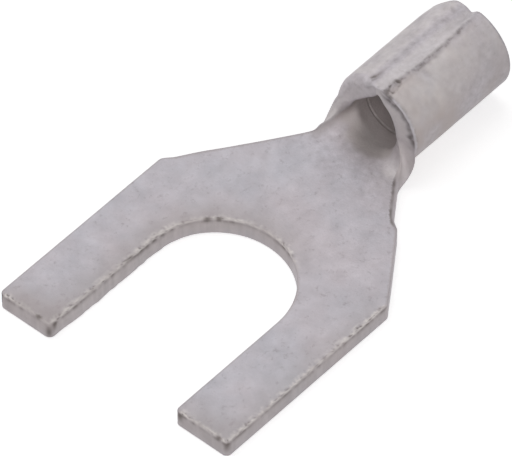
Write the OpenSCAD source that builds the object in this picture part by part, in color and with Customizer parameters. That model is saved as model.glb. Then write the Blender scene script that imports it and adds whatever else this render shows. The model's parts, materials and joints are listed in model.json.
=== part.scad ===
// Bare fork terminal, blanked from one sheet of tinned copper and rolled.
// The flat fork goes under a screw head, the neck curls the sheet up, and the barrel grips the wire.
// The origin is the centre of the slot's round end, on the underside of the fork.
// +X runs towards the barrel, +Z is up. Sizes are in millimetres and angles in degrees.

/* [Sheet] */
// Thickness of the sheet
sheet_t = 0.8; // [0.6:0.05:1]
// Radius that blanking leaves along the upper edges of the sheet
edge_r = 0.17; // [0.1:0.01:0.25]

/* [Fork] */
// Width of the slot, which clears the shank of the screw
slot_w = 6.5; // [5.2:0.1:8]
// Width over both tines
fork_w = 11.9; // [11:0.1:15]
// Distance from the slot's centre to the tips of the tines
tine_l = 6; // [4.5:0.1:9]
// Distance from the slot's centre to the shoulders
shoulder_x = 3.5; // [2.5:0.1:5]
// Angle of the slanting shoulders to the axis
slant_angle = 35.5; // [30:0.5:45]
// Radius of the shoulders' corners
shoulder_r = 0.35; // [0.2:0.05:1]

/* [Tine tips] */
// Corner radius on the outside of the tine on the -Y side
near_outer_r = 0.36; // [0.3:0.02:1]
// Corner radius on the outside of the tine on the +Y side
far_outer_r = 0.3; // [0.3:0.02:1]
// Corner radius on the slot side of the tine on the -Y side
near_inner_r = 0.28; // [0.26:0.02:0.8]
// Corner radius on the slot side of the tine on the +Y side
far_inner_r = 0.42; // [0.26:0.02:0.8]

/* [Neck] */
// Narrowest width of the flat sheet between the shoulders and the barrel
neck_w = 4.28; // [3.8:0.02:5]
// Fillet between the edge of the neck and the front edge of the barrel
notch_r = 0.62; // [0.5:0.02:1]
// Length over which the sheet goes from flat to the barrel's full curve
curl_l = 2.1; // [1.6:0.05:2.8]
// How late in that length the curl comes, as a power of the distance along it
curl_power = 3; // [2:0.1:4]
// Step where two punches meet in the slanting edge on the -Y side
punch_step = 0.22; // [0.02:0.02:0.3]
// Place of that step along the slanting edge, from 0 at the shoulder to 1 at the notch
step_place = 0.67; // [0.4:0.01:0.85]

/* [Barrel] */
// Outside diameter of the barrel
barrel_d = 4.2; // [3.6:0.1:5.2]
// Length of the barrel from its mouth to its rear end
barrel_l = 5.85; // [4:0.05:9]
// Corner radius of the rolled-in wings where they meet at the mouth
wing_corner_r = 0.55; // [0.3:0.05:0.8]
// Number of ring grooves pressed into the bore
groove_count = 3; // [1:1:4]
// Width of each ring groove
groove_w = 0.2; // [0.1:0.02:0.4]
// Depth of each ring groove
groove_depth = 0.09; // [0.04:0.01:0.2]

/* [Seam] */
// Depth of the V along the joint of the barrel
seam_depth = 0.35; // [0.26:0.01:0.45]
// Width of the V's side towards -Y
seam_near_w = 0.45; // [0.2:0.01:0.6]
// Width of the V's side towards +Y, with the flattened lip
seam_far_w = 0.85; // [0.5:0.01:1]
// Distance from the floor of the V to where that lip starts
lip_w = 0.25; // [0.1:0.01:0.4]
// Height at which that lip starts, as a share of the depth
lip_share = 0.5; // [0.3:0.02:0.7]

/* [Hidden] */
$fn = 96;

half_t = sheet_t / 2;
slot_r = slot_w / 2;
barrel_r = barrel_d / 2;
bore_r = barrel_r - sheet_t;
mid_r = barrel_r - half_t;
// The edge of the neck runs along the slant and then round the notch to the barrel's front edge.
notch_drop = notch_r * (1 / cos(slant_angle) - 1);
notch_x = shoulder_x + (fork_w / 2 - neck_w / 2 + notch_drop) / tan(slant_angle);
slant_end_x = notch_x - notch_r * sin(slant_angle);
mouth_x = notch_x + notch_r;
curl_x = mouth_x - curl_l;
step_l = 0.3;
step_x = shoulder_x + (slant_end_x - shoulder_x) * step_place;
// The rolled sheet is a hair thinner where it runs into the barrel's wall, and it ends inside it.
seat_gap = 0.012;
seat_l = 0.35;
overlap = 0.03;
// Below this curvature the sheet counts as flat.
least_curvature = 0.0001;
// Cuts run this far past what they cut, and the waste at an edge reaches this far out of it.
past = 1;
reach = 0.4;
// A rounding circle is this much larger than its inset, so that it cuts the faces at an angle.
crossing = 1.04;
// The sides of the V are drawn longer by this factor, so that they run out of the barrel's surface.
run_out = 1.2;
groove_floor_w = groove_w / 3;
// Steps of the sheet's grid: round a tip's corner, a shoulder, the punch step, the slant and the notch
corner_steps = 5;
shoulder_steps = 3;
punch_steps = 4;
slant_steps = 10;
notch_steps = 20;
// Steps across a blanked edge and across the width
edge_steps = 4;
width_steps = 28;

function clamped(t) = min(max(t, 0), 1);
function ease(t) = let (c = clamped(t)) c * c * (3 - 2 * c);

// Share of the barrel's curve that the sheet has taken up at x
function curl(x) = pow(clamped((x - curl_x) / curl_l), curl_power);

// Rolls a point of the flat sheet: x along it, s across it, h above its middle surface.
function rolled(x, s, h) =
    let (k = curl(x) / mid_r, t = h * (1 - curl(x) * seat_gap / half_t), a = s * k * 180 / PI)
    k < least_curvature
        ? [x, s, half_t + t]
        : [x, (1 / k - t) * sin(a), half_t + 1 / k - (1 / k - t) * cos(a)];

// Half width of the flat sheet along the slant, past the step of that side
function slant_s(x, step) =
    fork_w / 2 - (x - shoulder_x) * tan(slant_angle) - step * ease((x - step_x) / step_l);

// One side's edge in the flat, as [x, half width], from the tip of its tine to the barrel
function edge_path(outer_r, step) =
    let (
        tip = [outer_r - tine_l, fork_w / 2 - outer_r],
        shoulder = [shoulder_x - shoulder_r * tan(slant_angle / 2), fork_w / 2 - shoulder_r],
        notch = [notch_x + overlap, slant_s(notch_x, step) + notch_r + notch_drop]
    )
    concat(
        [for (i = [0:corner_steps]) let (a = 90 * i / corner_steps) tip + outer_r * [-cos(a), sin(a)]],
        [for (i = [0:shoulder_steps])
            let (a = slant_angle * i / shoulder_steps)
            shoulder + shoulder_r * [sin(a), cos(a)]],
        [for (i = [0:punch_steps])
            let (x = step_x + step_l * i / punch_steps)
            [x, slant_s(x, step)]],
        [for (i = [1:slant_steps - 1])
            let (from = step_x + step_l, x = from + (slant_end_x - from) * i / slant_steps)
            [x, slant_s(x, step)]],
        [for (i = [0:notch_steps])
            let (a = -slant_angle + (90 + slant_angle) * i / notch_steps)
            notch + notch_r * [sin(a), -cos(a)]]
    );

// Unit normal of a path at its point i, towards the middle of the sheet
function inward(path, i) =
    i == 0 ? [1, 0]
    : let (d = path[min(i + 1, len(path) - 1)] - path[i - 1]) [d[1], -d[0]] / norm(d);

// Section of the edge: inset and height above the middle surface, from the underside to the top
edge_section = concat(
    [[0, -half_t]],
    [for (i = [0:edge_steps]) let (a = 90 * i / edge_steps)
        [edge_r * (1 - cos(a)), half_t - edge_r * (1 - sin(a))]]
);

// One station: the section at one side, with sign -1 or 1, in the flat as [x, s, h]
function edge_points(path, i, side) =
    let (p = path[i], n = inward(path, i))
    [for (e = edge_section) [p[0] + n[0] * e[0], side * (p[1] + n[1] * e[0]), e[1]]];

// A closed loop round the sheet: up one edge, across the top, down the other edge, back underneath
function station(near, far) =
    let (last = len(near) - 1)
    concat(
        near,
        [for (i = [1:width_steps - 1]) near[last] + (far[last] - near[last]) * i / width_steps],
        [for (i = [last:-1:0]) far[i]],
        [for (i = [width_steps - 1:-1:1]) near[0] + (far[0] - near[0]) * i / width_steps]
    );

// The fork, the neck and the first stretch of the barrel's floor, as one sheet rolled by its stations
module rolled_sheet() {
    near = edge_path(near_outer_r, punch_step);
    far = edge_path(far_outer_r, 0);
    end = len(near) - 1;
    end_x = mouth_x + seat_l;
    end_near = [for (e = edge_section) [end_x, -(near[end][1] - e[0]), e[1]]];
    end_far = [for (e = edge_section) [end_x, far[end][1] - e[0], e[1]]];
    stations = concat(
        [for (i = [0:end]) station(edge_points(near, i, -1), edge_points(far, i, 1))],
        [station(end_near, end_far)]
    );
    ring = len(stations[0]);
    rings = len(stations);
    points = [for (s = stations) for (p = s) rolled(p[0], p[1], p[2])];
    // Places in a loop: the edge columns, the row across the top and the row underneath
    top = len(edge_section) - 1;
    far_top = top + width_steps;
    far_low = far_top + top;
    skin = [
        for (j = [0:rings - 2])
            for (i = [0:ring - 1])
                let (a = j * ring + i, b = j * ring + (i + 1) % ring)
                    each [[a, b, b + ring], [a, b + ring, a + ring]]
    ];
    // The tips' end face follows the edge's section, and the end in the wall closes across the thickness.
    tip_low = concat([1, 0], [for (i = [ring - 1:-1:far_low - 1]) i]);
    tip_strips = [for (i = [1:top - 2]) [far_low - i, far_low - i - 1, i + 1, i]];
    tip_top = concat([top - 1], [for (i = [far_top + 1:-1:top]) i]);
    base = (rings - 1) * ring;
    end_edges = [[for (i = [0:top]) base + i], [for (i = [far_top:far_low]) base + i]];
    end_strips = [
        for (i = [0:width_steps - 1])
            let (a = base + top + i, b = base + (ring - i) % ring, c = base + ring - i - 1)
                each [[a, a + 1, c], [a, c, b]]
    ];
    polyhedron(points, concat(skin, [tip_low, tip_top], tip_strips, end_edges, end_strips));
}

// What an edge loses to its rounding, with the solid at +x and below y = 0
module edge_waste(r) {
    difference() {
        translate([-reach, -r]) square([reach + r, reach + r]);
        translate([r, -r]) circle(r * crossing);
    }
}

// Half section of the slot, flaring at the top where the blanked edge is rounded
module slot_section() {
    translate([0, -past]) square([slot_r, sheet_t + past + reach]);
    translate([slot_r, sheet_t]) edge_waste(edge_r);
}

module slot() {
    rotate_extrude(angle = 180, start = -90) slot_section();
    rotate([90, 0, -90]) linear_extrude(tine_l + past) {
        slot_section();
        mirror([1, 0]) slot_section();
    }
}

// What the slot-side corner of a tine's tip loses, on the +Y side
module tip_corner_waste(r) {
    difference() {
        translate([-reach, -reach, -past]) cube([reach + r, reach + r, sheet_t + past + reach]);
        translate([r, r, 0]) rotate_extrude() difference() {
            translate([0, -past]) square([r * crossing, sheet_t + past + reach]);
            translate([r * crossing, sheet_t]) mirror([1, 0]) edge_waste(edge_r);
        }
    }
}

// Barrel along +X from its mouth: wall, rounded rims and the grooves inside
module barrel() {
    translate([mouth_x, 0, barrel_r]) rotate([0, 90, 0]) difference() {
        cylinder(h = barrel_l, r = barrel_r);
        translate([0, 0, -past]) cylinder(h = barrel_l + 2 * past, r = bore_r);
        mouth_rim();
        rear_rims();
        for (i = [1:groove_count])
            translate([0, 0, barrel_l * (i - 0.5) / groove_count]) ring_groove();
    }
}

module mouth_rim() {
    rotate_extrude() translate([bore_r, 0]) mirror([0, 1]) edge_waste(edge_r);
}

module rear_rims() {
    translate([0, 0, barrel_l]) rotate_extrude() {
        translate([bore_r, 0]) edge_waste(edge_r / 2);
        translate([barrel_r, 0]) mirror([1, 0]) edge_waste(edge_r);
    }
}

module ring_groove() {
    rotate_extrude() polygon([
        [bore_r - reach, -groove_w],
        [bore_r, -groove_w / 2],
        [bore_r + groove_depth, -groove_floor_w / 2],
        [bore_r + groove_depth, groove_floor_w / 2],
        [bore_r, groove_w / 2],
        [bore_r - reach, groove_w]
    ]);
}

// How far the barrel's surface has fallen below its top, at a distance w to the side
function fall(w) = barrel_r - sqrt(barrel_r * barrel_r - w * w);

// The V along the butt joint: the -Y side rises at one slope, the +Y side stands up to its flattened lip.
module seam() {
    near_edge = [-seam_near_w, seam_depth - fall(seam_near_w)] * run_out;
    lip = [lip_w, seam_depth * lip_share];
    far_edge = lip + ([seam_far_w, seam_depth - fall(seam_far_w)] - lip) * run_out;
    translate([mouth_x - past, 0, barrel_d - seam_depth]) rotate([90, 0, 90])
        linear_extrude(barrel_l + 2 * past) polygon([
            [0, 0],
            lip,
            far_edge,
            [far_edge[0], seam_depth + past],
            [near_edge[0], seam_depth + past],
            near_edge
        ]);
}

// Where the wings' rounded corners meet at the mouth, a small notch opens on the seam.
module wing_corners() {
    translate([mouth_x, 0, barrel_r]) linear_extrude(barrel_r + past) difference() {
        translate([-past, -wing_corner_r]) square([past + wing_corner_r, 2 * wing_corner_r]);
        for (side = [-1, 1])
            translate([wing_corner_r, side * wing_corner_r]) circle(wing_corner_r * crossing);
    }
}

module fork_terminal() {
    color([0.72, 0.7, 0.71]) difference() {
        union() {
            rolled_sheet();
            barrel();
        }
        slot();
        translate([-tine_l, slot_r, 0]) tip_corner_waste(far_inner_r);
        mirror([0, 1, 0]) translate([-tine_l, slot_r, 0]) tip_corner_waste(near_inner_r);
        seam();
        wing_corners();
    }
}

fork_terminal();
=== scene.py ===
"""Looks of a bare fork crimp terminal: blanked and rolled sheet, brazed seam, matte tin, small studio.

The sheet is drawn flat, meshed on both faces and round its edges, and then rolled as the real one is.
Shape sizes are in millimetres until the mesh is made. In the flat, x runs along the sheet, s across it
and h through it. The near side is -Y, the far side is +Y, as the camera sees them.
"""
import json
from math import atan2, cos, degrees, exp, hypot, pi, radians, sin, sqrt, tan
from types import SimpleNamespace

import bpy
import numpy as np
from mathutils import Matrix, Vector, noise
from mathutils.geometry import delaunay_2d_cdt


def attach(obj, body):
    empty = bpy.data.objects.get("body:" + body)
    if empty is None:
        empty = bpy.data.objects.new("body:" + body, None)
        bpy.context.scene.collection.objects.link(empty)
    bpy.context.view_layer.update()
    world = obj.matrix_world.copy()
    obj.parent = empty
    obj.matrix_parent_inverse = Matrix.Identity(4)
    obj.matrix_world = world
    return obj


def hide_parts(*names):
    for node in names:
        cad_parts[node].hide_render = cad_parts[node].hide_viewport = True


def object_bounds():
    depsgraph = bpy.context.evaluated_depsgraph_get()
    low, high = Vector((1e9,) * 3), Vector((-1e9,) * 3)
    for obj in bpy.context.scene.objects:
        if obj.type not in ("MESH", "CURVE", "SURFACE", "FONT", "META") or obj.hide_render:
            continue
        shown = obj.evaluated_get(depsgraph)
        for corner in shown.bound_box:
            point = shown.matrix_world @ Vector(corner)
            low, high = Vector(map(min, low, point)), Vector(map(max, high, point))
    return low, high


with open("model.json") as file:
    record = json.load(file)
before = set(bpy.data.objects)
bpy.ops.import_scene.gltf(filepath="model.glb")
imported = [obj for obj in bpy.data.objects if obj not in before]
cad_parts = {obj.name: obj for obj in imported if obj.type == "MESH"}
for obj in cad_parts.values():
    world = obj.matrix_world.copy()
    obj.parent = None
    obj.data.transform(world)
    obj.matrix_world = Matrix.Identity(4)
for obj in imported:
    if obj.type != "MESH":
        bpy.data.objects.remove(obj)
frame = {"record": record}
CAD_LOW, CAD_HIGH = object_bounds()
MM = 0.001

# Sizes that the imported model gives
MOUNTS = {mount["name"]: mount for mount in frame["record"]["mounts"]}
SLOT_R = MOUNTS["stud_slot"]["dims"]["r_mm"]
BARREL_R = MOUNTS["wire_bore"]["pos_m"][2] / MM
SHEET_T = MOUNTS["screw_face"]["pos_m"][2] / MM
TIP_X = CAD_LOW.x / MM
REAR_X = CAD_HIGH.x / MM
FORK_HALF = CAD_HIGH.y / MM
HALF_T = SHEET_T / 2
MID_R = BARREL_R - HALF_T
# Where the wings meet, as a distance across the flat sheet
SEAM_S = pi * MID_R

# The blank's outline
SHOULDER_X = 3.5
SLANT = radians(35.5)
SHOULDER_R = 0.35
MOUTH_X = 9.66
# Where the neck's edges begin to turn into the mouth, and where they are curled up off the fork's plane
NECK_END_X = 9.0
CURLED_X = 8.8
# Each side's corners and notch, the step that the punch left on its slant, how its curl grows, how the
# mouth's inner edge swells inwards round "lip_s", how its upper edge leans at the notch (forwards where
# the value is negative), the mouth's outer radius, and where the notch is filled out: angles round its
# centre and their half width in degrees, and the height
NEAR = {
    "side": -1, "outer_r": 0.24, "inner_r": 0.24, "notch_r": 0.60, "spread": 0.02, "sag": 0.0,
    "step": 0.26, "step_x": SHOULDER_X + 3.25, "step_l": 0.55, "curl_x": 8.6, "curl_power": 2.1,
    "lip": 0.25, "lip_s": 3.0, "lip_w": 2.3, "lean": -0.17, "mouth_r": 0.07,
    "fills": [(-25, 30, 0.04)],
}
FAR = {
    "side": 1, "outer_r": 0.26, "inner_r": 0.28, "notch_r": 0.657, "spread": 0.11, "sag": 0.05,
    "step": 0.0, "step_x": SHOULDER_X + 3.3, "step_l": 0.38, "curl_x": 7.16, "curl_power": 5.67,
    "lip": 0.245, "lip_s": 4.07, "lip_w": 1.48, "lean": -0.05, "mouth_r": 0.34,
    "fills": [(-90, 36, 0.10), (-15, 34, 0.06)],
}
# The middle and half width of the slant's slight hollow, and how far it takes to settle at the shoulder
SAG_X = 6.0
SAG_HALF = 2.6
SETTLE_L = 1.5
# How far the sheared wall of the far prong stands out into the slot at its lower edge, and where it ends
BREAKOUT = 0.085
SLOT_WALL_END = 3.0
# How far the far wing's end is set in from the rear
REAR_SET_IN = 0.22

# Mesh steps along the outline, over the faces and in the fine bands, and the largest turn, in radians,
# from one point of an arc to the next
EDGE_STEP = 0.085
GRID = 0.09
FINE_GRID = 0.048
ARC_TURN = 0.16
# Distance between the rows of a hexagonal grid of step 1, and how far the grids stay off the edge
HEX_ROW = 0.866
EDGE_CLEARANCE = 0.7 * FINE_GRID
# How the outline is moved into the sheet: the size and number of steps, and how much each is evened
INSET_STEP = 0.02
INSET_LEVELS = 20
EVENING = 0.6


def ease(t):
    """0 to 1 with level ends, for numbers and arrays."""
    c = np.clip(t, 0.0, 1.0)
    return c * c * (3.0 - 2.0 * c)


def rise(x, start, length):
    """0 up to a start and 1 from a length after it, with an eased step between."""
    return ease((x - start) / length)


def fall(x, start, length):
    """1 up to a start and 0 from a length after it, with an eased step between."""
    return 1 - ease((x - start) / length)


def hill(x, centre, half):
    """A hill of height 1 at its centre, down to 0 at half its width."""
    return np.clip(1.0 - ((x - centre) / half) ** 2, 0.0, 1.0) ** 2


def spot(x, centre, width):
    """A hill of height 1 at its centre that fades away, with about a third left at its width."""
    return np.exp(-((x - centre) / width) ** 2)


def tent(x, centre, half):
    """Straight slopes up to a point of height 1 at the centre."""
    return np.clip(1 - np.abs(x - centre) / half, 0.0, 1.0)


def wobble(points, scale, seed=0.0):
    """Smooth noise between about -1 and 1 at each point."""
    return np.array([noise.noise(Vector((p[0] * scale + seed, p[1] * scale, seed))) for p in points])


def wander(values, scale, seed=0.0):
    """Smooth noise between about -1 and 1 along a line."""
    return wobble(np.c_[values, np.zeros(len(values))], scale, seed)


def uneven(places, base, *waves):
    """A base with waves of noise on it, over points or along a line. A wave is a height, scale and seed."""
    wave = wander if np.ndim(places) == 1 else wobble
    for height, scale, seed in waves:
        base = base + height * wave(places, scale, seed)
    return base


def patchy(places, base, *waves, low=0.0, high=1.0):
    """Like uneven, and kept between two values."""
    return np.clip(uneven(places, base, *waves), low, high)


# Outline of the flat blank

def line(start, end, step=EDGE_STEP):
    """Points from start up to but not including end."""
    start = np.array(start, float)
    end = np.array(end, float)
    count = max(1, round(hypot(*(end - start)) / step))
    return [start + (end - start) * i / count for i in range(count)]


def arc(centre, radius, start, end):
    """Points round a centre in the flat, from one angle up to but not including the other."""
    step = min(EDGE_STEP, radius * ARC_TURN)
    count = max(3, round(abs(end - start) * radius / step))
    angles = [start + (end - start) * i / count for i in range(count)]
    return [np.array([centre[0] + radius * cos(a), centre[1] + radius * sin(a)]) for a in angles]


def slant_s(x, side):
    """Half width of the flat sheet on the slanting edge, past the step of that side."""
    step = side["step"] * float(rise(x, side["step_x"], side["step_l"]))
    sag = side["sag"] * float(hill(x, SAG_X, SAG_HALF))
    return FORK_HALF + side["spread"] - (x - SHOULDER_X) * tan(SLANT) - step - sag


def side_outline(side):
    """One side's edge, s positive, from the seam at the mouth to the start of the slot's round end."""
    notch_r = side["notch_r"]
    notch = (MOUTH_X - notch_r, slant_s(MOUTH_X - notch_r, side) + notch_r / cos(SLANT))
    shoulder = (SHOULDER_X - SHOULDER_R * tan(SLANT / 2), FORK_HALF - SHOULDER_R)
    slant_start = shoulder[0] + SHOULDER_R * sin(SLANT)
    slant_end = notch[0] - notch_r * sin(SLANT)
    outer_r = side["outer_r"]
    inner_r = side["inner_r"]
    points = line((MOUTH_X, SEAM_S), (MOUTH_X, notch[1]))
    for point in arc(notch, notch_r, 0.0, -pi / 2 - SLANT):
        away = point - notch
        angle = degrees(atan2(away[1], away[0]))
        fill = sum(height * float(hill(angle, at, half)) for at, half, height in side["fills"])
        points.append(notch + away * (1 - fill / notch_r))
    count = round((slant_end - slant_start) / cos(SLANT) / EDGE_STEP)
    for i in range(count):
        x = slant_end + (slant_start - slant_end) * i / count
        # The slant is spread a little towards the notch and meets the shoulder at its own place.
        settle = side["spread"] * float(fall(x, slant_start, SETTLE_L))
        points.append(np.array([x, slant_s(x, side) - settle]))
    points += arc(shoulder, SHOULDER_R, pi / 2 - SLANT, pi / 2)
    points += line((shoulder[0], FORK_HALF), (TIP_X + outer_r, FORK_HALF))
    points += arc((TIP_X + outer_r, FORK_HALF - outer_r), outer_r, pi / 2, pi)
    points += line((TIP_X, FORK_HALF - outer_r), (TIP_X, SLOT_R + inner_r))
    points += arc((TIP_X + inner_r, SLOT_R + inner_r), inner_r, pi, 1.5 * pi)
    points += line((TIP_X + inner_r, SLOT_R), (0.0, SLOT_R))
    return np.array(points)


def on_slot_wall(outline):
    """Which outline points lie on the far prong's sheared wall in the slot."""
    x, s = outline.T
    return (s > 0) & (s < SLOT_R + 0.001) & (x < SLOT_WALL_END)


def breakout(outline):
    """How far the sheared wall stands out into the slot at its lower edge, at each outline point."""
    x, s = outline.T
    waves = uneven(x, 1, (0.5, 1.7, 36.0), (0.4, 4.1, 37.0))
    along = BREAKOUT * rise(x, -5.4, 1.2) * fall(x, 0.4, 1.8) * waves
    return np.where(on_slot_wall(outline), along * s / SLOT_R, 0.0)


def front_outline():
    """The whole front edge, from the seam on the near side round the fork to the seam on the far side."""
    near = side_outline(NEAR) * (1, -1)
    slot = np.array(arc((0.0, 0.0), SLOT_R, -pi / 2, pi / 2) + [np.array([0.0, SLOT_R])])
    far = side_outline(FAR)[::-1]
    outline = np.vstack([near, slot, far])
    outline[:, 1] -= breakout(outline)
    return outline


def rear_outline():
    """The rear edge, from the far side of the seam round to the near side."""
    count = round(2 * SEAM_S / EDGE_STEP)
    s = np.linspace(SEAM_S, -SEAM_S, count + 1)
    # The far wing's end is set in from near the seam to the side of the barrel, by the angle round it.
    turn = (SEAM_S - s) / MID_R
    set_in = REAR_SET_IN * rise(turn, 0.35, 0.5) * fall(turn, 1.5, 0.7)
    return np.c_[REAR_X - set_in, s]


def inset_levels(outline):
    """The outline moved into the sheet in small steps. Its ends stay on the seam."""
    levels = [outline]
    for _ in range(INSET_LEVELS - 1):
        p = levels[-1]
        d = np.zeros_like(p)
        d[1:-1] = p[2:] - p[:-2]
        d[0] = (0.0, p[1, 1] - p[0, 1])
        d[-1] = (0.0, p[-1, 1] - p[-2, 1])
        n = np.c_[d[:, 1], -d[:, 0]] / np.hypot(d[:, 0], d[:, 1])[:, None]
        q = p + n * INSET_STEP
        # A little evening keeps tight corners from folding over.
        even = q.copy()
        even[1:-1] = 0.5 * q[1:-1] + 0.25 * (q[2:] + q[:-2])
        q = q + EVENING * (even - q)
        q[0, 1] = outline[0, 1]
        q[-1, 1] = outline[-1, 1]
        levels.append(q)
    return np.array(levels)


def at_inset(levels, inset):
    """Each outline point at its own inset."""
    place = np.clip(inset / INSET_STEP, 0.0, len(levels) - 1.001)
    low = place.astype(int)
    t = (place - low)[:, None]
    index = np.arange(levels.shape[1])
    return levels[low, index] * (1 - t) + levels[low + 1, index] * t


# Faces of the flat blank

def hex_grid(low, high, step):
    """Points in rows, each row shifted by half a step from the last."""
    rows = np.arange(low[1], high[1], step * HEX_ROW)
    points = []
    for j, s in enumerate(rows):
        x = np.arange(low[0] + (j % 2) * step / 2, high[0], step)
        points.append(np.c_[x, np.full(len(x), s)])
    return np.vstack(points)


def inside(points, loop):
    """Which points lie within a closed loop."""
    result = np.zeros(len(points), bool)
    a = loop
    b = np.roll(loop, -1, axis=0)
    for (ax, ay), (bx, by) in zip(a, b):
        if ay == by:
            continue
        crosses = (ay > points[:, 1]) != (by > points[:, 1])
        x = ax + (points[:, 1] - ay) * (bx - ax) / (by - ay)
        result ^= crosses & (points[:, 0] < x)
    return result


def chunks(points, size=4000):
    """Slices that cover the points a few thousand at a time, to spare memory."""
    return [slice(start, start + size) for start in range(0, len(points), size)]


def gap_squares(points, loop):
    """Squared distances: a row for each point, with a column for each point of the loop."""
    return (points[:, None, 0] - loop[None, :, 0]) ** 2 + (points[:, None, 1] - loop[None, :, 1]) ** 2


def near_loop(points, loop, distance):
    """Which points lie closer to a loop's points than a distance."""
    close = [gap_squares(points[rows], loop).min(1) < distance ** 2 for rows in chunks(points)]
    return np.concatenate(close)


def face_points(loop, fine):
    """Grid points within a loop, closer together where fine(points) is true."""
    low = loop.min(0) - GRID
    high = loop.max(0) + GRID
    coarse = hex_grid(low, high, GRID)
    coarse = coarse[~fine(coarse)]
    dense = hex_grid(low, high, FINE_GRID)
    dense = dense[fine(dense)]
    points = np.vstack([coarse, dense])
    points = points[inside(points, loop)]
    return points[~near_loop(points, loop, EDGE_CLEARANCE)]


def triangles(loop, extra):
    """Triangles over a loop and the points in it. The loop's points come first and in order."""
    everything = np.vstack([loop, extra])
    ring = list(range(len(loop)))[::-1]
    result = delaunay_2d_cdt([Vector(p) for p in everything], [], [ring], 1, 1e-6)
    place = [origin[0] for origin in result[3]]
    return everything, [tuple(place[i] for i in face) for face in result[2]]


# Shape through the thickness: how far each face lies inside the plain sheet

# The V over the joint: its depth where it is open and where it is filled, where it starts to open, the
# width of its near slope, the width of its steep far slope, and the width and share of the soft lip there
SEAM_DEPTH = 0.35
SEAM_FILLED = 0.09
SEAM_OPENS_X = 13.4
SEAM_NEAR_W = 0.46
SEAM_FAR_STEEP = 0.2
SEAM_FAR_W = 0.95
SEAM_FAR_SHARE = 0.6
# How deep the far wing is flattened towards its rear end
REAR_FLAT = 0.09
# Where the marks on the barrel's rear part begin
REAR_PART_X = 14.3
# The ragged line's distance from the seam, how far it sways, and how wide it is
JAG_U = -0.47
JAG_SWAY = 0.07
JAG_W = 0.11
# The marks at the wings' front corners: place along the sheet, and distance from the seam
DENT_X = 10.12
DENT_U = 0.53
SLIVER_X = 10.20
SLIVER_U = -0.52
# The depth of the ragged line, of the tool marks on the far lip, and of the corner marks
JAG_DEPTH = 0.05
LIP_MARK_DEPTH = 0.03
DENT_DEPTH = 0.10
SLIVER_DEPTH = 0.06
TONGUE_H = 0.03
# How far the rounding of the far side's turn from neck to bore reaches
CREST_W = 0.45
# The V between the wings' inner edges at the mouth: its depth, distance from the seam and half width
INNER_V_DEPTH = 0.24
INNER_V_ASIDE = 0.14
INNER_V_W = 0.5
# The ring grooves in the bore and the ridge behind each
GROOVE_DEPTH = 0.04
GROOVE_W = 0.045
RIDGE_H = 0.004
GROOVE_COUNT = 3
BARREL_L = REAR_X - MOUTH_X
GROOVES = [MOUTH_X + BARREL_L * (i + 0.5) / GROOVE_COUNT for i in range(GROOVE_COUNT)]


def seam_distance(s):
    """Distance over the barrel's outside from the seam, negative on the near side."""
    return np.sign(s) * (SEAM_S - np.abs(s)) * BARREL_R / MID_R


def jag_line(x):
    """Where the ragged line runs beside the seam, as a distance from it."""
    sway = JAG_SWAY * np.sin((x - 11.2) * 1.1)
    return uneven(x, JAG_U - sway, (0.07, 1.7, 21.0), (0.05, 5.0, 22.0))


def jag(points):
    """The ragged line's strength at each point: a soft uneven band, small pits in it, fuzz beside it."""
    x = points[:, 0]
    u = seam_distance(points[:, 1]) - jag_line(x)
    width = JAG_W * uneven(x, 1, (0.9, 0.9, 33.0))
    band = spot(u, -0.03, width) * patchy(x, 0.65, (0.7, 1.3, 24.0), (0.6, 4.3, 32.0), low=0.2)
    stretched = uneven(points * (0.5, 1.3), 0.0, (2.0, 6.0, 25.0))
    pits = spot(u, -0.03, 0.9 * width) * patchy(points, stretched, (1.8, 14.0, 26.0))
    fuzz = hill(x, 11.7, 1.2) * spot(u, -0.17, 0.11)
    fuzz = fuzz * patchy(points * (1.0, 2.0), 0.3, (1.4, 4.5, 33.0))
    strength = np.clip(0.60 * band + 0.75 * pits + 0.6 * fuzz, 0.0, 1.0)
    return strength * (1 - 0.6 * rise(x, REAR_PART_X, 0.9))


def lip_marks(points):
    """Faint tool marks on the far lip, in a long uneven row, and crumpled metal at its rear end."""
    x = points[:, 0]
    u = seam_distance(points[:, 1])
    row = uneven(x, 0.43, (0.03, 1.5, 23.0))
    broken = patchy(points, uneven(x, 0.6, (0.9, 1.5, 26.0)), (0.9, 5.0, 27.0), low=0.1)
    crumpled = rise(x, REAR_PART_X + 0.1, 0.5) * hill(u, 0.75, 0.45) * patchy(points, 0.0, (2.4, 4.5, 34.0))
    return np.clip(spot(u, row, 0.09) * broken + crumpled, 0.0, 1.0)


def corner_dent(points):
    """The hollow behind the far wing's front corner, slantwise to the seam, and the dark streak in it."""
    x = points[:, 0] - DENT_X
    u = seam_distance(points[:, 1]) - DENT_U
    along = 0.90 * x - 0.43 * u
    across = 0.43 * x + 0.90 * u
    hollow = hill(along, 0.0, 0.52) * hill(across, -0.06, 0.26)
    width = 0.035 + 0.04 * rise(along, -0.3, 0.6)
    streak = hill(along, 0.02, 0.50) * spot(across, 0.0, width) * patchy(points, 0.8, (0.7, 6.0, 31.0))
    return hollow, streak


def corner_sliver(points):
    """The sliver pressed up on the near wing's front corner: a broken outline round a small tongue."""
    away = points[:, 0] - SLIVER_X
    x = away / 0.38
    u = (seam_distance(points[:, 1]) - SLIVER_U - 0.16 * away) / 0.15
    radius = uneven(points, np.hypot(x, u), (0.55, 5.5, 28.0))
    ring = spot(radius, 1.0, 0.32) * patchy(points, 0.5, (1.3, 5.5, 29.0))
    return ring, spot(u, 0.35, 0.3) * spot(x, 0.0, 0.7)


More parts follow.
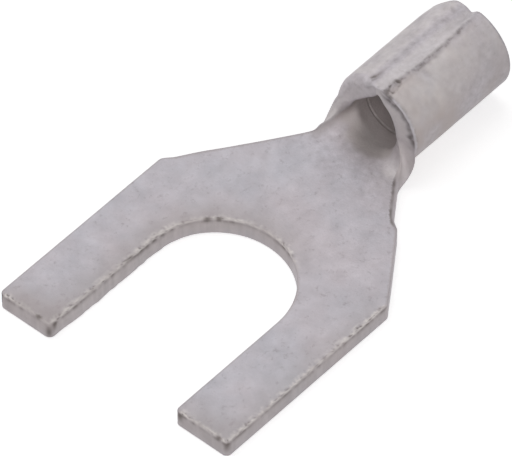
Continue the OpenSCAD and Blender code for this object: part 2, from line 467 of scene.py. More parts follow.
def seam_drop(points):
    """The V over the joint: a slope to the ragged line on the near side, a soft lip on the far side."""
    x = points[:, 0]
    u = seam_distance(points[:, 1])
    # The joint is filled nearly level, apart from its rear end.
    depth = SEAM_FILLED + (SEAM_DEPTH - SEAM_FILLED) * rise(x, SEAM_OPENS_X, REAR_X - SEAM_OPENS_X)
    near = depth * fall(-u, 0.0, uneven(x, SEAM_NEAR_W, (0.05, 1.2, 30.0))) ** 1.15
    lip = SEAM_FAR_SHARE * depth
    far = (depth - lip) * spot(u, 0.0, SEAM_FAR_STEEP) + lip * fall(u, 0.0, SEAM_FAR_W)
    return np.where(u < 0, near, far)


def ripple(points, coarse, fine):
    """The tin's slight waves, always inwards. Coarse and fine are a scale and a seed each."""
    return 0.006 * (1 + wobble(points, *coarse)) + 0.003 * (1 + wobble(points, *fine))


def outer_drop(points):
    """How far the underside, which is the barrel's outside, lies inside the plain sheet."""
    x = points[:, 0]
    u = seam_distance(points[:, 1])
    hollow, _ = corner_dent(points)
    ring, tongue = corner_sliver(points)
    drop = seam_drop(points) + JAG_DEPTH * jag(points) + LIP_MARK_DEPTH * lip_marks(points)
    drop = drop + DENT_DEPTH * hollow + SLIVER_DEPTH * ring - TONGUE_H * tongue
    drop = drop + REAR_FLAT * hill(u, 1.6, 1.6) * rise(x, REAR_PART_X, 1.2)
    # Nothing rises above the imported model's top.
    crown = BARREL_R * (1 + np.cos(u / BARREL_R)) - CAD_HIGH.z / MM
    on_barrel = rise(x, MOUTH_X - 0.3, 0.3)
    return np.maximum(drop, crown) * on_barrel + ripple(points, (1.3, 2.2), (5.0, 3.3))


def crest_drop(x, s):
    """Rounds off the far side's sharp turn from neck to bore, by a drop as pointed as the turn is."""
    rate = FAR["curl_power"] / (MOUTH_X - FAR["curl_x"])
    turn = rate * MID_R * (1 - np.cos(s / MID_R)) * (s > 0) * fall(s, 2.0, 0.8)
    return 0.25 * CREST_W * turn * tent(x, MOUTH_X, CREST_W) ** 2


def inner_drop(points):
    """How far the upper face, which is the bore, lies inside the plain sheet."""
    x = points[:, 0]
    s = points[:, 1]
    drop = ripple(points, (0.9, 6.6), (3.7, 6.9)) * fall(x, MOUTH_X + 0.1, 0.3) + crest_drop(x, s)
    for groove in GROOVES:
        drop = drop + GROOVE_DEPTH * hill(x, groove, GROOVE_W)
        drop = drop - RIDGE_H * hill(x, groove + 1.6 * GROOVE_W, 0.8 * GROOVE_W)
    # The inner edge of the mouth swells inwards, as thick sheet does when it is bent this tightly.
    at_mouth = rise(x, NECK_END_X, 0.5) * fall(x, MOUTH_X + 0.15, 0.45)
    for side in (NEAR, FAR):
        drop = drop - side["lip"] * hill(s * side["side"], side["lip_s"], side["lip_w"]) * at_mouth
    # The wings' inner edges open into a small V where they meet at the mouth.
    return drop + INNER_V_DEPTH * tent(seam_distance(s), -INNER_V_ASIDE, INNER_V_W) * at_mouth


# Rolling

# How gently the curl sets in, as a share of its length, and the least curvature, for the flat fork
CURL_ONSET = 0.12
FLAT_CURVE = 1e-6


def curl(x, side):
    """Share of the barrel's curve that the sheet has taken up at x."""
    t = np.clip((x - side["curl_x"]) / (MOUTH_X - side["curl_x"]), 0.0, 1.0)
    return t ** side["curl_power"] * (1 - np.exp(-t / CURL_ONSET)) / (1 - exp(-1 / CURL_ONSET))


def roll(points, h):
    """Places of flat points at height h over the middle of the sheet, once it is rolled."""
    x = points[:, 0]
    s = points[:, 1]
    share = np.where(s < 0, curl(x, NEAR), curl(x, FAR))
    curve = np.maximum(share / MID_R, FLAT_CURVE)
    y = (1 / curve - h) * np.sin(s * curve)
    z = HALF_T + 1 / curve - (1 / curve - h) * np.cos(s * curve)
    return np.c_[x, y, z]


# The rim's section

# Section points by number: from the lower face at 0 round to the wall's foot, up the wall to its head,
# and round to the upper face
SECTION = [0, 1, 2, 3, 3.5, 4, 4.5, 5, 5.5, 6.2, 7, 8, 9, 10, 11, 12, 13, 14]
FOOT = 3
HEAD = 8
TOP = SECTION[-1]
# Share of each section point in the crevice under the upper edge and in the bead on it
CREVICE = {8: 0.3, 9: 0.8, 10: 1.0, 11: 0.4}
BEAD = {11: 0.3, 12: 0.9, 13: 1.0, 14: 1.0}
# The radius of the lower edge, both radii at the rear, the upper edge's radius where it stayed crisp and
# what being rubbed or rolled over adds to it, and how uneven the burr makes it
LOW_R = 0.045
REAR_LOW_R = 0.06
REAR_HIGH_R = 0.09
CRISP_R = 0.06
RUBBED_R = 0.08
ROLLED_R = 0.11
BURR_R = 0.03
# How far the wall's middle stands out, how deep the crevice and the ragged line are, and the height of
# the crumbs on the rim and on the face beside it
WALL_SWELL = 0.012
CREVICE_DEPTH = 0.05
RAGGED_DEPTH = 0.05
RIM_CRUMB = 0.02
FACE_CRUMB = 0.015
# The section point that the mouth's ragged dark line follows next to the seam, how far lower it starts at
# the neck, and its half width, in section points
RAGGED_ROW = 4.9
RAGGED_CLIMB = 1.5
RAGGED_W = 1.0
# How far the wall of the far notch leans back into the sheet at its upper edge
FAR_NOTCH_LEAN = 0.2
# How far apart the section's rows count for the speckles, and how far these reach over the upper face
SPECKLE_ROW = 0.045
SPECKLE_REACH = 0.12
# Where dirt has caught on the rim, at the tips, the punch step, the mouth and the slot: along x, across,
# and section point
CAUGHT = [
    (TIP_X + 0.08, SLOT_R + 0.12, 5.5), (TIP_X + 0.30, SLOT_R, 9.0), (TIP_X + 0.10, FORK_HALF - 0.10, 7.5),
    (TIP_X, -SLOT_R - 0.25, 8.5), (TIP_X + 0.10, 0.10 - FORK_HALF, 8.5), (TIP_X, SLOT_R + 0.7, 13.5),
    (TIP_X, 0.5 - FORK_HALF, 11.5), (NEAR["step_x"] + 0.05, -3.55, 8.5),
    (MOUTH_X, -4.95, 0.0), (MOUTH_X, -4.72, 1.5),
    (2.56, 2.0, 12.0), (2.25, 2.35, 11.5), (-1.4, SLOT_R, 12.5), (-1.15, SLOT_R, 12.5),
]
CAUGHT_W = 0.12
CAUGHT_ROWS = 4.5
# The direction from which the edges were rubbed
RUBBED_FROM = (-0.75, -0.66)
# How far the rim's own section reaches over the upper face
RIM_REACH = 0.17
# The sheet's rounded-over edge: how far it reaches past the rim, and its drop
DIE_ROLL_W = 0.5
DIE_ROLL = 0.05
# How far the painted shade in the crease at the far notch reaches past the rim
CREASE_SHADE_W = 0.28
# How far the painted shade beside the rubbed edges reaches over the upper face, and how strong it gets
SHADE_W = 0.95
SHADE_MOST = 1.3
# How dark that painted shade, the painted shade in the crease at the far notch and the dirt streak in the
# corner's hollow are
PAINTED_EDGE_SHADE = 0.27
PAINTED_CREASE_SHADE = 0.42
STREAK_DIRT = 0.9


def speckle(run, across):
    """Bright and dull crumbs on the rubbed burr, -1 to 1, longer along the edge than across it."""
    grid = np.c_[run, np.full(len(run), 2.2 * across)]
    return patchy(grid, 0.0, (1.3, 4.0, 41.0), (1.2, 9.0, 43.0), low=-1.0)


def dull(specks):
    """How dark the dull crumbs of a speckle are."""
    return np.clip(-specks - 0.3, 0, 1)


def facing(outline):
    """How far each edge looks to the open end and the near side, where the burr was rubbed."""
    d = np.gradient(outline, axis=0)
    out = np.c_[-d[:, 1], d[:, 0]] / np.maximum(np.hypot(d[:, 0], d[:, 1]), 1e-9)[:, None]
    return ease(1.3 * (RUBBED_FROM[0] * out[:, 0] + RUBBED_FROM[1] * out[:, 1]))


def rim_zones(outline):
    """Which part of the edge each outline point belongs to, and the distance run along the edge."""
    x, s = outline.T
    aside = np.abs(s)
    rear = x > REAR_X - REAR_SET_IN - 0.01
    # The mouth's edge begins past the notch, both along the sheet and across it.
    mouth = rise(x, 9.2, 0.4) * rise(aside, 2.2, 0.6) * ~rear
    return SimpleNamespace(
        x=x,
        s=s,
        run=np.r_[0, np.cumsum(np.hypot(*np.diff(outline, axis=0).T))],
        near=s < 0,
        far=s > 0,
        rear=rear,
        mouth=mouth,
        fork=(1 - mouth) * ~rear,
        slant=rise(x, SHOULDER_X + 0.1, 0.4) * fall(x, NECK_END_X, 0.3),
        stepped=rise(x, NEAR["step_x"], 0.3),
        curled=rise(x, CURLED_X, 0.5) * ~rear,
        at_tip=fall(x, TIP_X + 0.2, 0.3),
        slot_wall=on_slot_wall(outline),
        looks_out=facing(outline),
        # Both wings end alike where they meet.
        apart=1 - rise(aside, SEAM_S - 0.65, 0.6) * (x > 9.5),
    )


def rim_shape(outline, at, rubbed):
    """Radii of the rim's lower and upper edges, and how far its wall goes back towards the upper one."""
    x = at.x
    # Where the notch runs into the mouth, the upper edge leans forwards over the lower one.
    at_notch = rise(x, NECK_END_X, 0.5) * fall(np.abs(at.s), 2.8, 2.4) * ~at.rear
    far_notch = FAR_NOTCH_LEAN * at.far * rise(x, 8.9, 0.4) * fall(at.s, 2.25, 0.95) * ~at.rear
    # Edges that look away from the rubbed side stayed crisp, and the far slant was rolled over.
    rolled = np.maximum(at.mouth, at.slant * np.where(at.far, 1.0, at.stepped))
    crisp = CRISP_R + np.maximum(RUBBED_R * at.looks_out, ROLLED_R * rolled)
    burred = rubbed * BURR_R * uneven(at.run, 0.0, (1.0, 0.9, 1.5), (1.0, 3.5, 2.5))
    turned = rise(x, NECK_END_X, 0.5) * at.apart * ~at.rear
    mouth_r = np.where(at.near, NEAR["mouth_r"], FAR["mouth_r"])
    return {
        "lean": np.where(at.near, NEAR["lean"], FAR["lean"]) * at_notch + far_notch,
        # The outline has the sheared wall's lower edge, so the upper one goes back by as much.
        "set_back": breakout(outline),
        "high_r": np.where(at.rear, REAR_HIGH_R, crisp + burred),
        "low_r": np.where(at.rear, REAR_LOW_R, LOW_R + (mouth_r - LOW_R) * turned),
    }


def rim_marks(at, rubbed):
    """Strength of each dark or pale mark along the rim."""
    x = at.x
    s = at.s
    run = at.run
    aside = np.abs(s)
    # The painted shade is weaker along the near prong's outer edge and stronger on the far tip.
    outer_edge = rise(-s, SLOT_R + 0.9, 0.8) * (x > TIP_X + 0.3)
    shaded = 1 - 0.38 * outer_edge + 0.3 * at.far * at.at_tip
    # How pale the mouth's faces are on each side, partly as painted light.
    pale_near = 0.15 + 0.45 * rise(aside, 2.3, 0.7)
    pale_far = 0.45 - 0.15 * rise(aside, 2.6, 0.8)
    # The ragged line climbs the wall towards the seam.
    climb = RAGGED_CLIMB * fall(-s, 4.0, 0.6)
    rag = patchy(run, 0.75, (0.6, 1.9, 12.0), (0.6, 6.0, 14.0), low=0.2)
    streaks = patchy(run, 0.5, (0.9, 2.2, 51.0), (0.9, 6.5, 52.0))
    return {
        "gap": rubbed * patchy(run, 0.5, (0.9, 0.8, 5.0), (1.0, 4.5, 6.0)),
        "sheared": at.near * at.stepped * fall(x, 8.6, 0.5) * patchy(run, 0.7, (0.9, 2.5, 9.0)),
        "rag": at.mouth * at.near * at.apart * rag,
        "rag_row": uneven(run, RAGGED_ROW, (1.0, 1.6, 13.0), (1.1, 4.5, 15.0)) - climb,
        "far_rag": at.mouth * at.far * at.apart * patchy(run, 0.2, (1.2, 2.2, 16.0)),
        "shaded": at.fork * at.looks_out * (1 - at.slant) * shaded,
        "crisp_edge": at.fork * (1 - at.looks_out) * (1 - at.curled),
        # Painted shade in the crease at the far notch.
        "crease": at.far * rise(x, 8.3, 0.5) * fall(s, 2.6, 0.6) * ~at.rear,
        # The mouth's faces are paler, partly as painted light, and the slot's wall a little paler.
        "pale": at.curled * np.where(at.near, pale_near, pale_far) + 0.12 * at.slot_wall,
        "streaks": streaks * (1 - at.curled) * ~at.rear,
        "rear_near": at.rear * rise(-s, 0.3, 0.5),
        # On the fork's edges the tarnish is painted shade, stronger where they look to the open end and the
        # near side.
        "tarnish": 0.1 * at.mouth + at.fork * (0.3 + 0.3 * at.looks_out) + 0.35 * at.rear,
    }


def rim_style(outline):
    """Shape and marks of the rim at each outline point."""
    at = rim_zones(outline)
    rubbed = at.fork * at.looks_out * (1 - at.slant) * patchy(at.run, 0.75, (0.9, 0.45, 4.0), low=0.3)
    shape = rim_shape(outline, at, rubbed)
    marks = rim_marks(at, rubbed)
    return SimpleNamespace(run=at.run, at_tip=at.at_tip, rubbed=rubbed, **shape, **marks)


def edge_shade(points, outline, weight):
    """Painted shade of the outline's weighted edges, spread over the sheet: 1 on a long straight edge of
    weight 1.
    """
    length = np.hypot(*np.gradient(outline, axis=0).T)
    strength = weight * length / (SHADE_W * sqrt(pi))
    kept = strength > 0
    shade = np.zeros(len(points))
    for rows in chunks(points):
        shade[rows] = np.exp(-gap_squares(points[rows], outline[kept]) / SHADE_W ** 2) @ strength[kept]
    return np.minimum(shade, SHADE_MOST)


def section_point(k, style, low_h, high_h):
    """Inset and height of one section point all along the rim, before burrs and leaning."""
    low_r = style.low_r
    high_r = style.high_r
    if k <= FOOT:
        turn = pi / 2 * k / FOOT
        return low_r * (1 - sin(turn)), low_h + low_r * (1 - cos(turn))
    if k < HEAD:
        t = (k - FOOT) / (HEAD - FOOT)
        inset = np.full(len(low_r), WALL_SWELL * (1 - sin(pi * t)))
        return inset, low_h + low_r + (high_h - high_r - low_h - low_r) * t
    turn = pi / 2 * (k - HEAD) / (TOP - HEAD)
    return high_r * (1 - cos(turn)), high_h - high_r * (1 - sin(turn))


def rim_looks(k, outline, flat, style, speck, shade):
    """Dirt with painted shade, wear with painted light, and tarnish with painted shade, of one section
    point, all along the rim.
    """
    upper = rise(k, 9, 4)
    wall = hill(k, 6, 5)
    ragged = spot(k, style.rag_row, RAGGED_W)
    # Painted shade beside the rubbed edges and in the far notch's crease joins the dark marks here.
    dark = CREVICE.get(k, 0.0) * style.gap + 1.3 * dull(speck) + PAINTED_EDGE_SHADE * shade * upper
    dark = dark + 0.8 * style.sheared * hill(k, 13.5, 2.5) + caught_dirt(outline, k)
    dark = dark + ragged * (0.95 * style.rag + 0.4 * style.far_rag) + 0.14 * wall * style.streaks
    dark = dark + 0.15 * style.crisp_edge * hill(k, 13, 2.5) + PAINTED_CREASE_SHADE * style.crease * upper
    # Painted shade darkens the walls at the tips a little.
    dark = dark + 0.4 * style.rear_near * hill(k, 1, 2.5) + 0.07 * wall * style.at_tip
    if k <= FOOT:
        _, streak = corner_dent(flat)
        dark = dark + STREAK_DIRT * streak * (style.rubbed < 0.01) + 0.12 * style.rag
    dirt = np.clip(dark, 0.0, 1.0)
    # Paler mouth faces, partly painted light, and paler walls between the streaks.
    pale = style.pale * (1 - 0.5 * upper) + 0.10 * wall * (1 - style.streaks) * (1 - style.rear_near)
    pale = pale * (0.2 + 0.8 * rise(k, 1, 3))
    bead = BEAD.get(k, 0.0) * style.rubbed
    wear = np.clip(0.6 * bead + speck + pale * (1 - dirt), 0.0, 1.0)
    return np.c_[dirt, wear, style.tarnish * (0.45 + 0.55 * rise(k, 0, 9))]


def rim(outline):
    """The rim by section and outline point: flat places with heights, and dirt, wear and tarnish, which
    carry painted shade and painted light too.
    """
    levels = inset_levels(outline)
    style = rim_style(outline)
    low_skin = at_inset(levels, style.low_r)
    high_skin = at_inset(levels, np.maximum(style.high_r + style.lean + style.set_back, 0.0))
    low_h = -HALF_T + outer_drop(low_skin)
    high_h = HALF_T - inner_drop(high_skin) - DIE_ROLL * style.rubbed
    shade = edge_shade(outline, outline, style.shaded)
    places = []
    looks = []
    for k in SECTION:
        inset, h = section_point(k, style, low_h, high_h)
        ragged = spot(k, style.rag_row, RAGGED_W)
        speck = BEAD.get(k, 0.0) * style.rubbed * speckle(style.run, SPECKLE_ROW * k)
        inset = inset + CREVICE_DEPTH * CREVICE.get(k, 0.0) * style.gap
        inset = inset + RAGGED_DEPTH * ragged * style.rag
        inset = inset + (style.lean + style.set_back) * k / TOP
        flat = at_inset(levels, np.maximum(inset, 0.0))
        places.append(np.c_[flat, h + RIM_CRUMB * speck])
        looks.append(rim_looks(k, outline, flat, style, speck, shade))
    # The outer rows are the edges of the two faces.
    places[0] = np.c_[low_skin, low_h]
    places[-1] = np.c_[high_skin, high_h]
    return np.array(places), np.array(looks)


def caught_dirt(outline, k):
    """The spots of dirt that one section point of the rim has."""
    dirt = np.zeros(len(outline))
    for x, s, row in CAUGHT:
        near = spot(outline[:, 0], x, CAUGHT_W) * spot(outline[:, 1], s, CAUGHT_W)
        dirt = dirt + 0.9 * near * hill(k, row, CAUGHT_ROWS)
    return dirt


# Putting the mesh together

# Decimals of a millimetre to which two points have to agree to be joined
WELD_DECIMALS = 5


def in_fine_outer(points):
    """The finer band of the underside, along the seam."""
    return (np.abs(seam_distance(points[:, 1])) < 1.0) & (points[:, 0] > MOUTH_X)


def in_fine_inner(points):
    """The finer bands of the upper face, at the grooves and on the far side's turn into the bore."""
    x, s = points.T
    close = (np.abs(x - MOUTH_X) < CREST_W) & (np.abs(s - 1.5) < 1.3)
    for groove in GROOVES:
        close |= np.abs(x - groove - 0.05) < 0.2
    return close


def edge_distance(points, loop, reach):
    """Distance of each point to a loop's nearest point, up to a reach, and which point that is."""
    distance = np.zeros(len(points))
    nearest = np.zeros(len(points), int)
    for rows in chunks(points):
        gap = gap_squares(points[rows], loop)
        nearest[rows] = gap.argmin(1)
        distance[rows] = np.sqrt(gap.min(1))
    return np.minimum(distance, reach), nearest


def skin(front, rear, fine, drop, sign):
    """One face of the sheet between the front and rear rims: flat points with heights, and triangles."""
    count = round((rear[0, 0] - front[-1, 0]) / FINE_GRID)
    t = np.linspace(0, 1, count + 1)[1:-1, None]
    # Both sides of the seam get the same points along it. Once the sheet is rolled, those whose heights
    # agree weld, and the rest lie against each other.
    far_seam = front[-1] + (rear[0] - front[-1]) * t
    near_seam = rear[-1] + (front[0] - rear[-1]) * t
    loop = np.vstack([front, far_seam, rear, near_seam])
    flat, faces = triangles(loop, face_points(loop, fine))
    h = sign * (HALF_T - drop(flat))
    return np.c_[flat, h], faces


def strips(first, count, ring):
    """Quads between successive rows of a rim."""
    faces = []
    for k in range(ring - 1):
        for i in range(count - 1):
            a = first + k * count + i
            faces.append((a, a + 1, a + 1 + count, a + count))
    return faces


def lower_skin(front, rear):
    """The underside, which is the barrel's outside, with its dirt, wear and tarnish, and its painted shade
    and painted highlights.
    """
    places, cells = skin(front[0][:, :2], rear[0][:, :2], in_fine_outer, outer_drop, -1)
    return places, cells, outer_looks(places[:, :2])


def upper_skin(front, rear):
    """The upper face, rolled over and speckled by the burr beside the rubbed edges, with painted shade
    beside them and in the far notch's crease.
    """
    places, cells = skin(front[-1][:, :2], rear[-1][:, :2], in_fine_inner, inner_drop, 1)
    outline = front_outline()
    style = rim_style(outline)
    reach = DIE_ROLL_W + 0.2
    distance, nearest = edge_distance(places[:, :2], outline, reach)
    past_rim = np.maximum(distance - RIM_REACH - style.set_back[nearest], 0.0)
    rubbed = style.rubbed[nearest]
    beside = rubbed * tent(past_rim, 0.0, DIE_ROLL_W) ** 2 * (distance < reach)
    fade = rubbed * spot(past_rim, 0.0, SPECKLE_REACH)
    specks = fade * speckle(style.run[nearest], SPECKLE_ROW * TOP + past_rim)
    crease = style.crease[nearest] * spot(past_rim, 0.0, CREASE_SHADE_W) * (distance < reach)
    shade = edge_shade(places[:, :2], outline, style.shaded)
    # The first points are the front rim's own.
    own = front.shape[1]
    places[:own, 2] = front[-1][:, 2]
    places[own:, 2] += (FACE_CRUMB * specks - DIE_ROLL * beside)[own:]
    looks = inner_looks(places[:, :2])
    # Dull crumbs add dirt; painted shade beside the rubbed edges and in the far notch's crease darkens and
    # browns the face.
    looks[:, 0] += 0.9 * dull(specks) + PAINTED_EDGE_SHADE * shade + PAINTED_CREASE_SHADE * crease
    looks[:, 1] += np.clip(1.1 * specks + 0.5 * fade - 0.1, 0, 1)
    looks[:, 2] += 0.4 * shade + 0.3 * crease
    return places, cells, looks


def sheet_mesh():
    """Vertices in millimetres, faces, and the dirt, wear and tarnish of the whole rolled sheet, with the
    painted shade and painted light that these carry.
    """
    flat = []
    faces = []
    rims = []
    looks = []
    for outline in (front_outline(), rear_outline()):
        places, rim_look = rim(outline)
        faces += strips(sum(map(len, flat)), len(outline), len(SECTION))
        rims.append(places)
        flat.append(places.reshape(-1, 3))
        looks.append(rim_look.reshape(-1, 3))
    for one_skin in (lower_skin, upper_skin):
        places, cells, look = one_skin(*rims)
        first = sum(map(len, flat))
        faces += [tuple(first + i for i in cell) for cell in cells]
        flat.append(places)
        looks.append(look)
    flat = np.vstack(flat)
    return roll(flat[:, :2], flat[:, 2]), faces, np.clip(np.vstack(looks), 0, 1)


def welded(points, faces):
    """Joins points that lie in the same place, and drops faces that have shrunk to a line."""
    keys = np.round(points, WELD_DECIMALS)
    _, index, inverse = np.unique(keys, axis=0, return_index=True, return_inverse=True)
    inverse = inverse.ravel()
    kept = []
    for face in faces:
        new = [inverse[i] for i in face]
        new = [v for i, v in enumerate(new) if v != new[i - 1]]
        if len(set(new)) >= 3:
            kept.append(new)
    return points[index], kept, index


# Looks of the two faces

# Where the brown tarnish of the bore begins, on the middle of the sheet
TARNISH_X = 8.76


def outer_looks(points):
    """Dirt, pale fill, tarnish, painted shade and painted highlights of the underside, nearly all of it on
    the barrel.
    """
    x, s = points.T
    u = seam_distance(s)
    ring, _ = corner_sliver(points)
    hollow, streak = corner_dent(points)
    dirt = 0.65 * jag(points) + 0.28 * lip_marks(points) + STREAK_DIRT * streak + 0.15 * hollow + 0.9 * ring
    # Painted shade darkens the barrel's near side low down and towards its rear.
    dirt = dirt + 0.08 * rise(-u, 3.1, 0.8) + 0.09 * rise(x, 13.2, 1.2) * rise(-u, 1.2, 1.0)
    # A broken dark line runs behind the near mouth's edge.
    edge = 0.4 * spot(x, MOUTH_X + 0.10, 0.08) * (s < 0) * rise(-s, 2.3, 0.3)
    edge = edge * patchy(points, 0.6, (0.9, 4.0, 11.0), (0.7, 7.0, 12.0))
    dirt = np.clip(dirt * rise(x, MOUTH_X - 0.1, 0.2) + edge, 0, 1)
    # The joint's smooth fill is paler, partly as a painted highlight, and a painted highlight lies on the
    # barrel's top on both sides of it.
    stripe = 0.32 * rise(u, jag_line(x), 0.08) * fall(u, 0.05, 0.25)
    far_top = 0.32 * rise(u, 0.45, 0.3) * fall(u, 1.8, 1.0)
    near_top = 0.34 * rise(-u, 0.6, 0.2) * fall(-u, 1.6, 1.6) * (1 - 0.5 * rise(x, 12.8, 1.8))
    tops = (far_top + near_top) * patchy(points, 1, (0.8, 1.6, 53.0), (0.5, 4.5, 54.0), high=2.0)
    wear = (stripe + tops) * rise(x, MOUTH_X, 0.1)
    # Brown tarnish, partly painted shade of that side, lies mostly over the barrel's near side and thins
    # towards the rear.
    tarnish = (0.75 - 0.35 * rise(x, 10.5, 3.5)) * (1 - 0.85 * rise(u, -0.7, 0.4))
    tarnish = tarnish * uneven(points, 1, (0.7, 0.8, 38.0), (0.4, 2.4, 39.0)) * rise(x, MOUTH_X - 0.3, 0.3)
    return np.c_[dirt, wear, np.maximum(tarnish, 0.0)]


def inner_looks(points):
    """Stain, painted shade, darker grooves, painted light and tarnish of the upper face: the neck and the
    bore.
    """
    x, s = points.T
    # The tarnish begins at a curved front on the neck.
    reach = np.minimum(0.28 * (s - 0.2) ** 2, np.where(s > 0, 0.5, 0.85))
    front = uneven(points, TARNISH_X + reach, (0.1, 1.6, 35.0))
    # A brown stain, partly painted shade, lies where the neck begins to curl, and painted shade darkens the
    # far side's turn into the bore.
    dirt = 0.40 * rise(x, front, 0.3) * fall(x, 9.5, 0.9) * hill(s, -0.1, 2.3)
    dirt = dirt + 0.31 * hill(x, 9.72, 0.7) * hill(s, 1.2, 1.2)
    # The ring grooves are darker in patches.
    patches = patchy(points, 0.6, (1.2, 4.0, 11.0))
    for groove in GROOVES:
        dirt = dirt + 0.45 * spot(x, groove, 0.06) * patches
    # A painted glint lightens the neck by the near notch.
    glint = 0.37 * spot(x, 8.8, 0.6) * spot(s, -1.65, 0.7)
    glint = glint * patchy(points, 1, (0.8, 1.6, 53.0), (0.5, 4.5, 54.0), high=2.0)
    # Painted light also brightens the bore past the tarnish front.
    wear = glint + 0.30 * rise(x, front, 0.6)
    return np.c_[dirt, wear, 0.55 * rise(x, front, 0.4) + 0.20 * rise(x, front - 0.9, 1.0)]


def build_sheet():
    """The whole terminal as one mesh object, with its shares of dirt, wear and tarnish, which also carry
    painted shade and painted light.
    """
    points, faces, looks = sheet_mesh()
    points, faces, index = welded(points, faces)
    mesh = bpy.data.meshes.new("fork_terminal_sheet")
    mesh.from_pydata([tuple(p * MM) for p in points], [], [tuple(f) for f in faces])
    mesh.validate()
    # The dirt, wear and tarnish shares also carry painted shade and painted light.
    for name, values in zip(("dirt", "wear", "tarnish"), looks[index].T):
        attribute = mesh.attributes.new(name, "FLOAT", "POINT")
        attribute.data.foreach_set("value", values.astype(np.float32))
    obj = bpy.data.objects.new("fork_terminal_sheet", mesh)
    bpy.context.scene.collection.objects.link(obj)
    turn_out(obj)
    mesh.polygons.foreach_set("use_smooth", [True] * len(mesh.polygons))
    return obj


def turn_out(obj):
    """Makes every face look outwards."""
    bpy.context.view_layer.objects.active = obj
    obj.select_set(True)
    bpy.ops.object.mode_set(mode="EDIT")
    bpy.ops.mesh.select_all(action="SELECT")
    bpy.ops.mesh.normals_make_consistent(inside=False)
    bpy.ops.object.mode_set(mode="OBJECT")
    obj.select_set(False)


# Materials

def add(tree, kind, **values):
    """A node with some of its sockets and settings set."""
    node = tree.nodes.new(kind)
    for name, value in values.items():
        if hasattr(node, name):
            setattr(node, name, value)
        else:
            node.inputs[name.replace("_", " ")].default_value = value
    return node


def new_material(name):
    """A material, its node tree and its output node."""
    material = bpy.data.materials.new(name)
    material.use_nodes = True
    tree = material.node_tree
    tree.nodes.clear()
    output = tree.nodes.new("ShaderNodeOutputMaterial")
    return material, tree, output


def ramp(tree, source, stops):
    """Colours by a value, from stops of position and colour."""
    node = tree.nodes.new("ShaderNodeValToRGB")
    tree.links.new(source, node.inputs["Fac"])
    elements = node.color_ramp.elements
    while len(elements) > 1:
        elements.remove(elements[-1])
    elements[0].position, elements[0].color = stops[0]
    for position, colour in stops[1:]:
        elements.new(position).color = colour
    return node.outputs["Color"]


def own_place(tree):
    """The object's own coordinates, in metres."""
    return tree.nodes.new("ShaderNodeTexCoord").outputs["Object"]


def cloud(tree, scale, detail, roughness):
    """Noise over the object's own coordinates."""
    node = add(tree, "ShaderNodeTexNoise", Scale=scale, Detail=detail, Roughness=roughness)
    tree.links.new(own_place(tree), node.inputs["Vector"])
    return node.outputs["Fac"]


def blend(tree, kind, share, first, second):
    """One colour over another. Share and colours are values or other nodes' outputs."""
    node = add(tree, "ShaderNodeMixRGB", blend_type=kind)
    for socket, value in (("Fac", share), ("Color1", first), ("Color2", second)):
        if isinstance(value, (int, float, tuple)):
            node.inputs[socket].default_value = value
        else:
            tree.links.new(value, node.inputs[socket])
    return node.outputs[0]


def layer(tree, name, strength):
    """The mesh's own share of one thing, times a strength."""
    attribute = add(tree, "ShaderNodeAttribute", attribute_name=name)
    node = add(tree, "ShaderNodeMath", operation="MULTIPLY")
    node.inputs[1].default_value = strength
    tree.links.new(attribute.outputs["Fac"], node.inputs[0])
    return node.outputs[0]


def worked(tree):
    """0 on the flat fork and 1 on the neck and barrel, which the tools have worked."""
    along = add(tree, "ShaderNodeSeparateXYZ")
    tree.links.new(own_place(tree), along.inputs[0])
    share = add(tree, "ShaderNodeMapRange", From_Min=0.006, From_Max=0.009)
    tree.links.new(along.outputs["X"], share.inputs["Value"])
    return share.outputs[0]


# Colours of the plate and of what lies on it; the tarnish, worn and dirt colours also paint shade and light
COOL_TIN = (0.505, 0.495, 0.535, 1)
WARM_TIN = (0.555, 0.515, 0.545, 1)
BROWN_TARNISH_AND_SHADE = (0.46, 0.405, 0.395, 1)
WORN_AND_LIT = (0.74, 0.70, 0.68, 1)
DARK_DIRT_AND_SHADE = (0.13, 0.11, 0.10, 1)
WHITE = (1, 1, 1, 1)


def tin_colour(tree):
    """Soft cloudy greys with fine pits, and on them the tarnish, the worn edges and the dirt, with the
    painted shade and painted light that these layers carry.
    """
    colour = ramp(tree, cloud(tree, 330, 3, 0.6), [(0.32, COOL_TIN), (0.68, WARM_TIN)])
    shade = [(0.3, (0.86, 0.85, 0.85, 1)), (0.7, (1.05, 1.05, 1.05, 1))]
    colour = blend(tree, "MULTIPLY", 1.0, colour, ramp(tree, cloud(tree, 1100, 4, 0.65), shade))
    pits = [(0.28, (0.78, 0.76, 0.76, 1)), (0.42, WHITE)]
    colour = blend(tree, "MULTIPLY", 0.8, colour, ramp(tree, cloud(tree, 4200, 3, 0.7), pits))
    # The neck and the barrel are mottled more finely than the flat fork.
    mottle = [(0.3, (0.87, 0.86, 0.86, 1)), (0.7, (1.10, 1.10, 1.10, 1))]
    colour = blend(tree, "MULTIPLY", worked(tree), colour, ramp(tree, cloud(tree, 3400, 2, 0.6), mottle))
    # The tarnish, wear and dirt layers also carry painted shade and painted light.
    colour = blend(tree, "MIX", layer(tree, "tarnish", 1.0), colour, BROWN_TARNISH_AND_SHADE)
    colour = blend(tree, "MIX", layer(tree, "wear", 0.9), colour, WORN_AND_LIT)
    return blend(tree, "MIX", layer(tree, "dirt", 0.85), colour, DARK_DIRT_AND_SHADE)


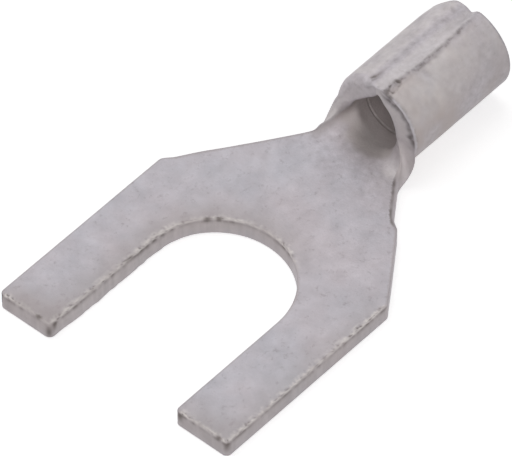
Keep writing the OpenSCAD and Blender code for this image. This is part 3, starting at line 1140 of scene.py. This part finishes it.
def tin():
    """Matte tin plate, uneven in colour and gloss, with a fine grain."""
    material, tree, output = new_material("matte_tin")
    shader = add(tree, "ShaderNodeBsdfPrincipled", Metallic=0.55)
    tree.links.new(shader.outputs[0], output.inputs["Surface"])
    tree.links.new(tin_colour(tree), shader.inputs["Base Color"])
    rough = add(tree, "ShaderNodeMapRange", To_Min=0.52, To_Max=0.68)
    tree.links.new(cloud(tree, 1500, 3, 0.6), rough.inputs["Value"])
    tree.links.new(rough.outputs[0], shader.inputs["Roughness"])
    grain = add(tree, "ShaderNodeBump", Strength=0.45, Distance=0.00004)
    tree.links.new(cloud(tree, 5200, 5, 0.65), grain.inputs["Height"])
    tree.links.new(grain.outputs[0], shader.inputs["Normal"])
    return material


# Studio

# Where the lamps point, near the middle of the terminal
LAMPS_AIM = Vector((0.004, 0.0, 0.001))


def camera():
    """The photograph's view: a long lens from above the open end of the fork."""
    azimuth = radians(41.216)
    elevation = radians(48.009)
    distance = 0.33037
    aside = 0.0016323
    above = 0.0026149
    look = Vector((cos(azimuth) * cos(elevation), sin(azimuth) * cos(elevation), -sin(elevation)))
    right = Vector((sin(azimuth), -cos(azimuth), 0.0))
    up = right.cross(look)
    data = bpy.data.cameras.new("camera")
    data.sensor_fit = "HORIZONTAL"
    data.sensor_width = 36.0
    data.lens = 592.17
    obj = bpy.data.objects.new("camera", data)
    spin = Matrix((right, up, -look)).transposed()
    obj.matrix_world = Matrix.Translation(-look * distance + right * aside + up * above) @ spin.to_4x4()
    bpy.context.scene.collection.objects.link(obj)
    bpy.context.scene.camera = obj


def area_light(name, place, size, power, tint=(1, 1, 1)):
    """A round lamp that shines on the terminal."""
    data = bpy.data.lights.new(name, "AREA")
    data.shape = "DISK"
    data.size = size
    data.energy = power
    data.color = tint
    obj = bpy.data.objects.new(name, data)
    obj.location = place
    aim = LAMPS_AIM - Vector(place)
    obj.rotation_euler = aim.to_track_quat("-Z", "Y").to_euler()
    bpy.context.scene.collection.objects.link(obj)


def for_seen_rays(tree, seen_value, other_value):
    """One value for camera, glossy and transmitted rays, and another for the light that falls."""
    path = tree.nodes.new("ShaderNodeLightPath")
    seen = path.outputs["Is Camera Ray"]
    for name in ("Is Glossy Ray", "Is Transmission Ray"):
        either = add(tree, "ShaderNodeMath", operation="MAXIMUM")
        tree.links.new(seen, either.inputs[0])
        tree.links.new(path.outputs[name], either.inputs[1])
        seen = either.outputs[0]
    value = add(tree, "ShaderNodeMapRange", To_Min=other_value, To_Max=seen_value)
    tree.links.new(seen, value.inputs["Value"])
    return value.outputs[0]


def sky():
    """A white world, dimmer for the light that falls on the terminal."""
    world = bpy.data.worlds.new("studio")
    bpy.context.scene.world = world
    world.use_nodes = True
    tree = world.node_tree
    background = tree.nodes["Background"]
    background.inputs["Color"].default_value = WHITE
    tree.links.new(for_seen_rays(tree, seen_value=1.0, other_value=0.37), background.inputs["Strength"])


def paper():
    """A pale diffuse surface that also glows a little for the rays that see it."""
    material, tree, output = new_material("pale_floor")
    matte = add(tree, "ShaderNodeBsdfDiffuse", Color=(0.80, 0.80, 0.80, 1))
    glow = add(tree, "ShaderNodeEmission", Color=WHITE)
    tree.links.new(for_seen_rays(tree, seen_value=0.58, other_value=0.0), glow.inputs["Strength"])
    both = tree.nodes.new("ShaderNodeAddShader")
    tree.links.new(matte.outputs[0], both.inputs[0])
    tree.links.new(glow.outputs[0], both.inputs[1])
    tree.links.new(both.outputs[0], output.inputs["Surface"])
    return material


def lay_floor():
    """A wide floor just under the terminal."""
    half = 1.5
    level = -0.00002
    corners = [(-half, -half, level), (half, -half, level), (half, half, level), (-half, half, level)]
    mesh = bpy.data.meshes.new("floor")
    mesh.from_pydata(corners, [], [(0, 1, 2, 3)])
    mesh.materials.append(paper())
    floor = bpy.data.objects.new("floor", mesh)
    bpy.context.scene.collection.objects.link(floor)


def studio():
    """World, lamps and floor, and plain colours."""
    sky()
    area_light("key", (0.02, 0.14, 0.32), size=0.40, power=0.35)
    area_light("fill", (-0.20, -0.20, 0.20), size=0.25, power=0.19, tint=(1.0, 0.97, 0.96))
    lay_floor()
    bpy.context.scene.view_settings.view_transform = "Standard"


def terminal():
    """The one piece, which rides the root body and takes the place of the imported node."""
    sheet = build_sheet()
    sheet.data.materials.append(tin())
    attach(sheet, "root")
    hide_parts("fork_terminal")


terminal()
camera()
studio()
